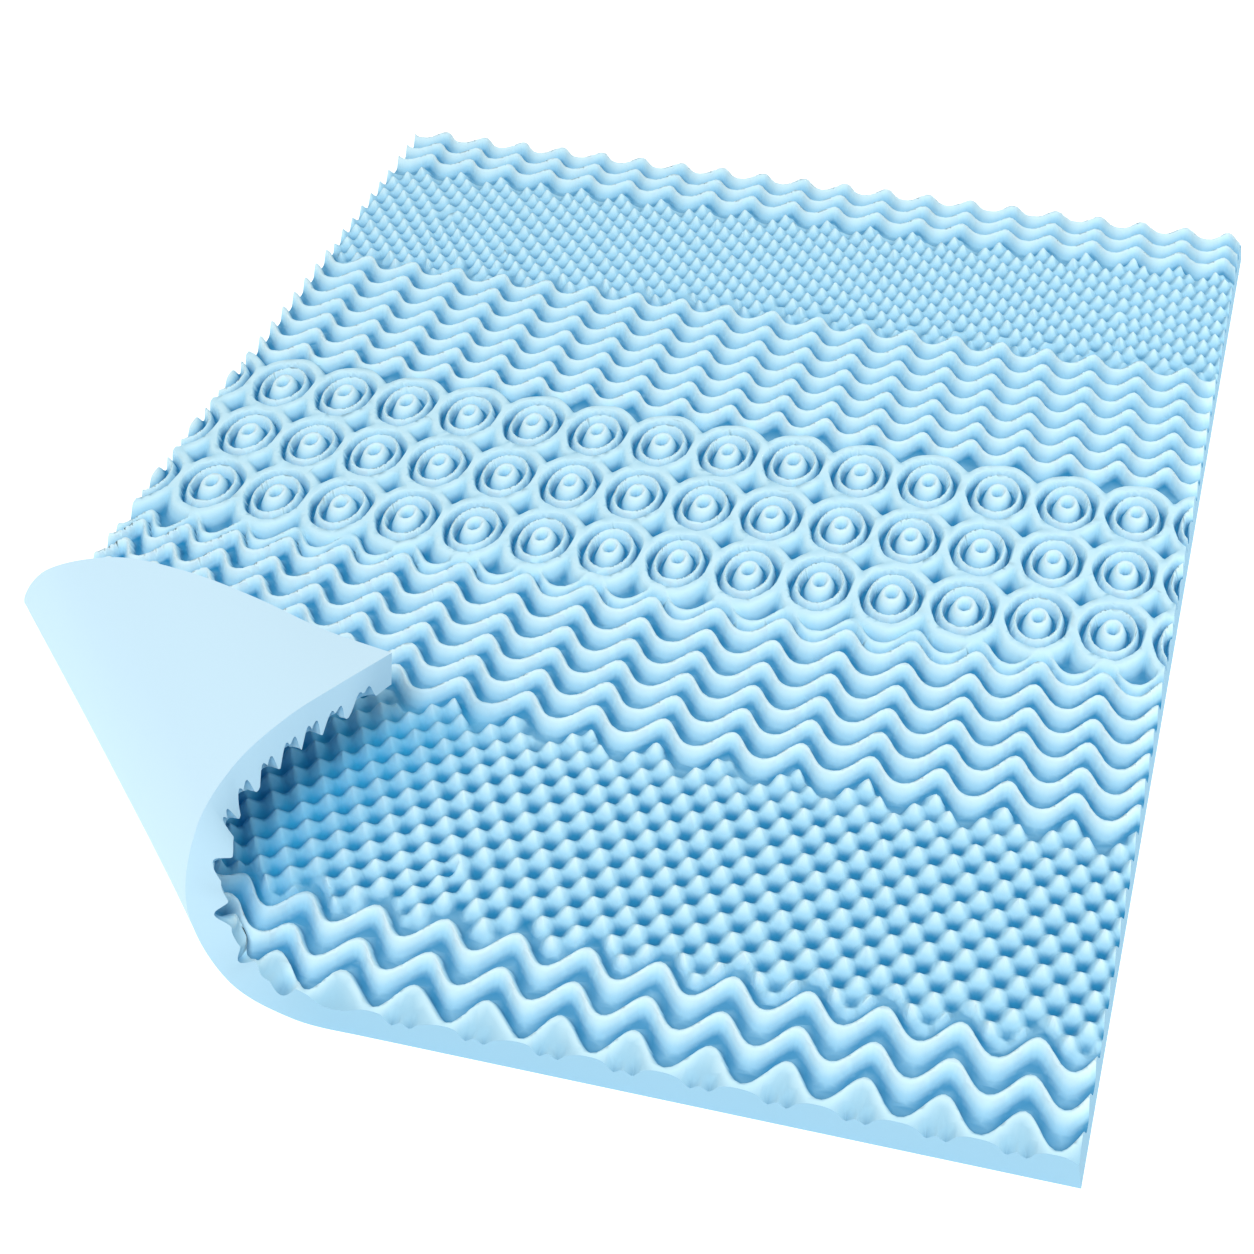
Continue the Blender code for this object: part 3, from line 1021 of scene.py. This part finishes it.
    def underside(self, rim: np.ndarray) -> tuple[np.ndarray, np.ndarray]:
        """The underside over the flat plan.

        Args:
            rim: The places (x, y) round its edge, in order.

        Returns:
            All its places, the rim's first, and its triangles, facing up.
        """
        inner = []
        side_x, side_y = self.curl.from_x + EDGE_X, self.curl.from_y + EDGE_Y
        for n in range(1, self.curl_steps):
            left = 1.0 - n / self.curl_steps
            steps = max(3, round(self.curl_steps * left))
            ax, by = left * side_x, left * side_y
            for s in range(1, steps):
                inner.append((-EDGE_X + ax * (1 - s / steps), -EDGE_Y + by * s / steps))
        for x in np.arange(-660.0, 700.0, self.flat_grid):
            for y in np.arange(-900.0, 960.0, self.flat_grid):
                if not self.curl.inside(x, y, self.flat_margin):
                    inner.append((float(x), float(y)))
        count = len(rim)
        places = [(float(x), float(y)) for x, y in rim] + inner
        edges = [(i, (i + 1) % count) for i in range(count)]
        made = delaunay_2d_cdt(places, edges, [], 0, 1e-5)
        index = np.array([source[0] for source in made[3]])
        return np.array(places), index[np.array(made[2])]

    def build(self) -> bpy.types.Object:
        """The closed slab, curled, in metres, with the normals of its true surface.

        Returns:
            The object, at the origin.
        """
        top, top_faces = self.top()
        sides = self.around(top[:, 0], top[:, 1])
        rim = [i for side in sides for i in side[:-1]]
        under, under_faces = self.underside(top[rim, :2])
        below = {i: len(top) + n for n, i in enumerate(rim)}
        flat = np.vstack([top, np.column_stack([under, np.zeros(len(under))])])
        points = self.curl.bend(*flat.T)
        quads = []
        wall_of = []
        for side, places in zip(Side, sides):
            for a, b in zip(places, places[1:]):
                quads.append((below[a], below[b], b, a))
                wall_of.append(side)
        faces = [tuple(f) for f in top_faces.tolist()]
        faces += [tuple(len(top) + i for i in reversed(f)) for f in under_faces.tolist()]
        faces += quads
        mesh = bpy.data.meshes.new("foam_topper")
        mesh.from_pydata(((points - np.array(self.middle)) * MM).tolist(), [], faces)
        mesh.polygons.foreach_set("use_smooth", [True] * len(faces))
        corners = np.empty(len(mesh.loops), np.int32)
        mesh.loops.foreach_get("vertex_index", corners)
        counts = (3 * len(top_faces), 3 * len(under_faces), 4 * len(quads))
        kinds = np.repeat([kind.value for kind in Face], counts)
        mesh.normals_split_custom_set(self.normals(flat, corners, kinds, wall_of).tolist())
        self.set_shares(mesh, flat, points, corners, kinds)
        mesh.update()
        slab = bpy.data.objects.new("foam_topper", mesh)
        bpy.context.scene.collection.objects.link(slab)
        LOG.info("slab: %d points, %d faces", len(points), len(faces))
        return slab

    def set_shares(
        self,
        mesh: bpy.types.Mesh,
        flat: np.ndarray,
        points: np.ndarray,
        corners: np.ndarray,
        kinds: np.ndarray,
    ) -> None:
        """Gives the mesh the shares that its material reads.

        rise is the moulded foam's painted shade and painted highlight, fold how much painted shade
        shows near and under the curled flap, base how much of the underside's colour shows, which
        on the curled walls is painted light, and cut how much of the walls' colour.

        Args:
            mesh: The slab's mesh.
            flat: All places on the plan, with heights.
            points: The same places, after the bending.
            corners: The place at each corner of each face.
            kinds: The kind of face that each corner is in.
        """
        x, y, height = flat.T
        above = height > 0.0
        # painted shade in the hollows and painted highlights on the ridges
        rise = np.zeros(len(flat))
        rise[above] = self.painted_shading.at(self.relief, x[above], y[above])
        # painted shade near and under the curled flap
        curl_shade = self.curl_shade_share * self.curl.covered(points, y)
        u, v = self.curl.shares(x, y)
        curled = ease((1.0 - u - v - self.paler_from) / self.paler_in)
        apron = ease(-self.relief.front.number(x, y) / self.apron_ridges)
        apron = np.maximum(apron, ease(1.0 + (-EDGE_Y - y) / self.apron_reach) * curled)
        first = [kinds == Face.TOP.value, kinds == Face.UNDER.value]
        # on the curled walls this is painted light: they are painted paler, towards the underside's
        # colour
        under_and_wall_light = np.select(first, [0.0, 1.0], self.curled_wall_light * curled[corners])
        cut = np.select(first, [self.apron_share * apron[corners], 0.0], 1.0)
        for name, domain, values in (
            ("rise", "POINT", rise),
            ("curl_shade", "POINT", curl_shade),
            ("under_and_wall_light", "CORNER", under_and_wall_light),
            ("cut", "CORNER", cut),
        ):
            attribute = mesh.attributes.new(name, "FLOAT", domain)
            attribute.data.foreach_set("value", values.astype(np.float32))

    def normals(
        self, flat: np.ndarray, corners: np.ndarray, kinds: np.ndarray, wall_of: list[Side]
    ) -> np.ndarray:
        """The normal of the true surface at each corner of each face.

        Args:
            flat: All places on the plan, with heights, the top's first.
            corners: The place at each corner.
            kinds: The kind of face that each corner is in.
            wall_of: The wall that each of the last faces is in.

        Returns:
            The normals, one to a corner.
        """
        bend, h, step = self.curl.bend, self.relief.height, self.probe
        on_top, under, wall = (kinds == kind.value for kind in Face)
        x, y = flat[flat[:, 2] > 0.0, :2].T
        along_x = bend(x + step, y, h(x + step, y)) - bend(x - step, y, h(x - step, y))
        along_y = bend(x, y + step, h(x, y + step)) - bend(x, y - step, h(x, y - step))
        normals = np.empty((len(corners), 3))
        normals[on_top] = unit(np.cross(along_x, along_y))[corners[on_top]]
        x, y = flat[:, 0], flat[:, 1]
        normals[under] = -self.curl.normal(x, y)[corners[under]]
        lift = np.full(len(flat), 10.0)
        up = unit(bend(x, y, lift) - bend(x, y, 0.0 * lift))
        runs = np.repeat(np.array([side.value for side in wall_of]) * self.wall_probe, 4, axis=0)
        places = flat[corners[wall]]
        low, high = (-EDGE_X, -EDGE_Y), (EDGE_X, EDGE_Y)
        start = np.clip(places[:, :2] - runs, low, high)
        end = np.clip(places[:, :2] + runs, low, high)
        along = bend(*end.T, places[:, 2]) - bend(*start.T, places[:, 2])
        normals[wall] = unit(np.cross(along, up[corners[wall]]))
        return normals


# ---- shading ----------------------------------------------------------------------------------
class Sock:
    """A socket that takes part in Python expressions, each of which adds a Math node."""

    def __init__(self, shader: Shader, socket: bpy.types.NodeSocket) -> None:
        """Keeps the socket and the shader that it belongs to."""
        self.shader, self.socket = shader, socket

    def _with(self, operation: str, *values: Sock | float) -> Sock:
        """The result of a Math node on these values."""
        return self.shader.node("ShaderNodeMath", {"operation": operation}, dict(enumerate(values)))

    def __add__(self, other: Sock | float) -> Sock:
        """Sum."""
        return self._with("ADD", self, other)

    def __radd__(self, other: float) -> Sock:
        """Sum, reflected."""
        return self._with("ADD", other, self)

    def __sub__(self, other: Sock | float) -> Sock:
        """Difference."""
        return self._with("SUBTRACT", self, other)

    def __rsub__(self, other: float) -> Sock:
        """Difference, reflected."""
        return self._with("SUBTRACT", other, self)

    def __mul__(self, other: Sock | float) -> Sock:
        """Product."""
        return self._with("MULTIPLY", self, other)

    def __rmul__(self, other: float) -> Sock:
        """Product, reflected."""
        return self._with("MULTIPLY", other, self)

    def between(self, low: float, high: float) -> Sock:
        """0 at low, 1 at high, and smooth between.

        Args:
            low: The value that gives 0.
            high: The value that gives 1.

        Returns:
            The share.
        """
        smooth = {"interpolation_type": "SMOOTHSTEP"}
        values = {"Value": self, "From Min": low, "From Max": high}
        return self.shader.node("ShaderNodeMapRange", smooth, values)


class Shader:
    """A material's nodes, made one at a time."""

    def __init__(self, name: str) -> None:
        """Starts a material with a Principled BSDF.

        Args:
            name: The material's name.
        """
        self.material = bpy.data.materials.new(name)
        self.material.use_nodes = True
        self.tree = self.material.node_tree
        self.surface = self.tree.nodes["Principled BSDF"]

    def node(
        self,
        kind: str,
        settings: dict[str, object] | None = None,
        values: dict[int | str, object] | None = None,
        output: int | str = 0,
    ) -> Sock:
        """Adds a node.

        Args:
            kind: The node's type.
            settings: Its settings, which are set first.
            values: The values or links of its sockets, by name or number.
            output: Which of its outputs to return.

        Returns:
            The output socket.
        """
        made = self.tree.nodes.new(kind)
        for key, value in (settings or {}).items():
            setattr(made, key, value)
        for key, value in (values or {}).items():
            self.feed(made.inputs[key], value)
        return Sock(self, made.outputs[output])

    def feed(self, socket: bpy.types.NodeSocket, value: object) -> None:
        """Links a socket, or sets its value.

        Args:
            socket: The input socket.
            value: What it gets: another socket or a plain value.
        """
        if isinstance(value, Sock):
            self.tree.links.new(value.socket, socket)
        else:
            socket.default_value = value

    def attribute(self, name: str) -> Sock:
        """One of the mesh's own shares."""
        return self.node("ShaderNodeAttribute", {"attribute_name": name}, output="Fac")

    def mix(self, share: Sock | float, a: object, b: object) -> Sock:
        """A colour between two others, from a where share is 0 to b where it is 1."""
        return self.node("ShaderNodeMix", {"data_type": "RGBA"}, {0: share, 6: a, 7: b}, 2)

    def set(self, name: str, value: object) -> None:
        """Feeds one of the surface's own sockets."""
        self.feed(self.surface.inputs[name], value)


Colour = tuple[float, float, float, float]
Span = tuple[float, float]


@dataclass(frozen=True)
class FoamFinish:
    """Pale blue open-cell foam: matt, with fine pores, with painted shade in its hollows and
    painted highlights on its ridges.

    The spans are the values of the painted shading between which one colour of the moulded top
    turns into the next.
    """

    # painted shade in the hollows, the slopes' colour, a painted highlight on the ridges and a
    # brighter painted highlight on their tops
    painted_shade: Colour = (0.02, 0.23, 0.45, 1.0)
    body: Colour = (0.39, 0.70, 0.88, 1.0)
    crest: Colour = (0.60, 0.87, 0.98, 1.0)
    painted_highlight: Colour = (0.84, 0.97, 1.0, 1.0)
    wall: Colour = (0.31, 0.55, 0.71, 1.0)
    under: Colour = (0.60, 0.82, 0.95, 1.0)
    # the painted shade colour near and under the curled flap
    curl_shade: Colour = (0.03, 0.39, 0.67, 1.0)
    pore: Colour = (0.24, 0.56, 0.82, 1.0)
    painted_shade_to_body: Span = (-0.12, 0.56)
    body_to_crest: Span = (0.48, 0.98)
    crest_to_painted_highlight: Span = (0.86, 1.3)
    painted_highlight_share: float = 0.5
    pores_per_metre: float = 420.0
    cells_per_metre: float = 900.0
    patches_per_metre: float = 9.0
    pore_edge: Span = (0.0, 0.22)
    patch_edge: Span = (0.52, 0.70)
    pore_share: float = 0.35
    cell_grain: float = 0.6
    pore_grain: float = 0.4
    grain_strength: float = 0.16
    grain_depth: float = 0.0006
    roughness: float = 0.92
    specular: float = 0.15

    def moulded(self, shader: Shader) -> Sock:
        """The colour of the moulded top, with its painted shade and painted highlights.

        Args:
            shader: The material's nodes.

        Returns:
            The colour, from the painted shading and from the painted shade near the curled flap.
        """
        # painted shade and painted highlights from the mesh's shading values
        rise = shader.attribute("rise")
        low = shader.mix(rise.between(*self.painted_shade_to_body), self.painted_shade, self.body)
        high = shader.mix(rise.between(*self.body_to_crest), low, self.crest)
        painted_highlight = rise.between(*self.crest_to_painted_highlight) * self.painted_highlight_share
        return shader.mix(shader.attribute("curl_shade"), shader.mix(painted_highlight, high, self.painted_highlight), self.curl_shade)

    def dress(self, piece: bpy.types.Object) -> None:
        """Makes the foam material and gives it to the piece.

        Args:
            piece: The object to dress.
        """
        shader = Shader("foam")
        place = shader.node("ShaderNodeTexCoord", output="Object")
        shade = shader.mix(shader.attribute("cut"), self.moulded(shader), self.wall)
        # the underside's own colour, and painted light on the curled walls
        shade = shader.mix(shader.attribute("under_and_wall_light"), shade, self.under)
        pores = shader.node(
            "ShaderNodeTexVoronoi",
            {"feature": "F1"},
            {"Vector": place, "Scale": self.pores_per_metre, "Randomness": 1.0},
        )
        fine = {"Vector": place, "Scale": self.cells_per_metre, "Detail": 2.0, "Roughness": 0.6}
        cells = shader.node("ShaderNodeTexNoise", values=fine)
        coarse = {"Vector": place, "Scale": self.patches_per_metre, "Detail": 3.0}
        patches = shader.node("ShaderNodeTexNoise", values=coarse)
        specks = (1.0 - pores.between(*self.pore_edge)) * patches.between(*self.patch_edge)
        shader.set("Base Color", shader.mix(specks * self.pore_share, shade, self.pore))
        shader.set("Roughness", self.roughness)
        shader.set("Specular IOR Level", self.specular)
        grain = {"Strength": self.grain_strength, "Distance": self.grain_depth}
        grain["Height"] = cells * self.cell_grain + pores * self.pore_grain
        shader.set("Normal", shader.node("ShaderNodeBump", values=grain))
        piece.data.materials.clear()
        piece.data.materials.append(shader.material)


@dataclass
class Topper:
    """The mattress topper: one slab of foam."""

    slab: Slab = field(default_factory=Slab)
    finish: FoamFinish = field(default_factory=FoamFinish)

    def build(self) -> bpy.types.Object:
        """Builds and dresses the slab in place of its solid.

        Returns:
            The slab's object.
        """
        piece = self.slab.build()
        self.finish.dress(piece)
        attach(piece, "root")
        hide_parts("topper")
        return piece


# ---- the studio -------------------------------------------------------------------------------
class Lamp(NamedTuple):
    """A round lamp that points at the object: its place and size in metres, and its power."""

    name: str
    place: tuple[float, float, float]
    size: float
    power: float


@dataclass
class Studio:
    """A white floor, soft light from all round with more from above, and the camera."""

    camera_place: tuple[float, float, float] = (0.7706, -2.6033, 2.0842)
    camera_turn: tuple[float, float, float] = (50.13, -0.02, 14.80)
    lens: float = 65.98
    shift_x: float = -0.0720
    shift_y: float = 0.0004
    sky: float = 0.50
    floor_size: float = 60.0
    floor_z: float = -0.0005
    floor_glow: float = 0.45
    lamps: tuple[Lamp, ...] = (
        Lamp("key", (0.8, -6.6, 10.0), 4.5, 770.0),
        Lamp("side", (3.2, 0.6, 1.6), 2.0, 22.0),
    )

    def floor(self) -> None:
        """The white floor."""
        bpy.ops.object.select_all(action="DESELECT")
        bpy.ops.mesh.primitive_plane_add(size=self.floor_size, location=(0.0, 0.0, self.floor_z))
        floor = bpy.context.object
        floor.name = "studio_floor"
        shader = Shader("studio_white")
        shader.set("Base Color", (0.95, 0.95, 0.95, 1.0))
        shader.set("Roughness", 1.0)
        shader.set("Specular IOR Level", 0.0)
        shader.set("Emission Color", (1.0, 1.0, 1.0, 1.0))
        shader.set("Emission Strength", self.floor_glow)
        floor.data.materials.append(shader.material)

    def lights(self) -> None:
        """The white room and the lamps."""
        world = bpy.data.worlds.new("studio")
        world.use_nodes = True
        background = world.node_tree.nodes["Background"]
        background.inputs["Color"].default_value = (1.0, 1.0, 1.0, 1.0)
        background.inputs["Strength"].default_value = self.sky
        bpy.context.scene.world = world
        for lamp in self.lamps:
            data = bpy.data.lights.new(lamp.name, "AREA")
            data.shape = "DISK"
            data.size = lamp.size
            data.energy = lamp.power
            light = bpy.data.objects.new(lamp.name, data)
            light.location = lamp.place
            light.rotation_euler = (-Vector(lamp.place)).to_track_quat("-Z", "Y").to_euler()
            bpy.context.scene.collection.objects.link(light)

    def camera(self) -> None:
        """The camera, at the photograph's angle."""
        data = bpy.data.cameras.new("camera")
        data.sensor_width = 36.0
        data.lens = self.lens
        data.shift_x, data.shift_y = self.shift_x, self.shift_y
        data.clip_end = 100.0
        camera = bpy.data.objects.new("camera", data)
        camera.location = self.camera_place
        camera.rotation_euler = Euler([math.radians(a) for a in self.camera_turn])
        bpy.context.scene.collection.objects.link(camera)
        bpy.context.scene.camera = camera

    def build(self) -> None:
        """Sets up the floor, the lights and the camera."""
        bpy.context.scene.view_settings.view_transform = "Standard"
        self.floor()
        self.lights()
        self.camera()


def corners(box: tuple[Vector, Vector]) -> list[list[float]]:
    """A box's two corners as plain lists."""
    return [list(map(float, corner)) for corner in box]


def main() -> None:
    """Builds the topper and the studio."""
    logging.basicConfig(level=logging.INFO, format="%(name)s: %(message)s")
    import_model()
    for node in list(bpy.context.selected_objects):
        node.select_set(False)
    piece = Topper().build()
    LOG.info("built %s", piece.name)
    Studio().build()
    bpy.context.view_layer.update()


if __name__ == "__main__":
    main()
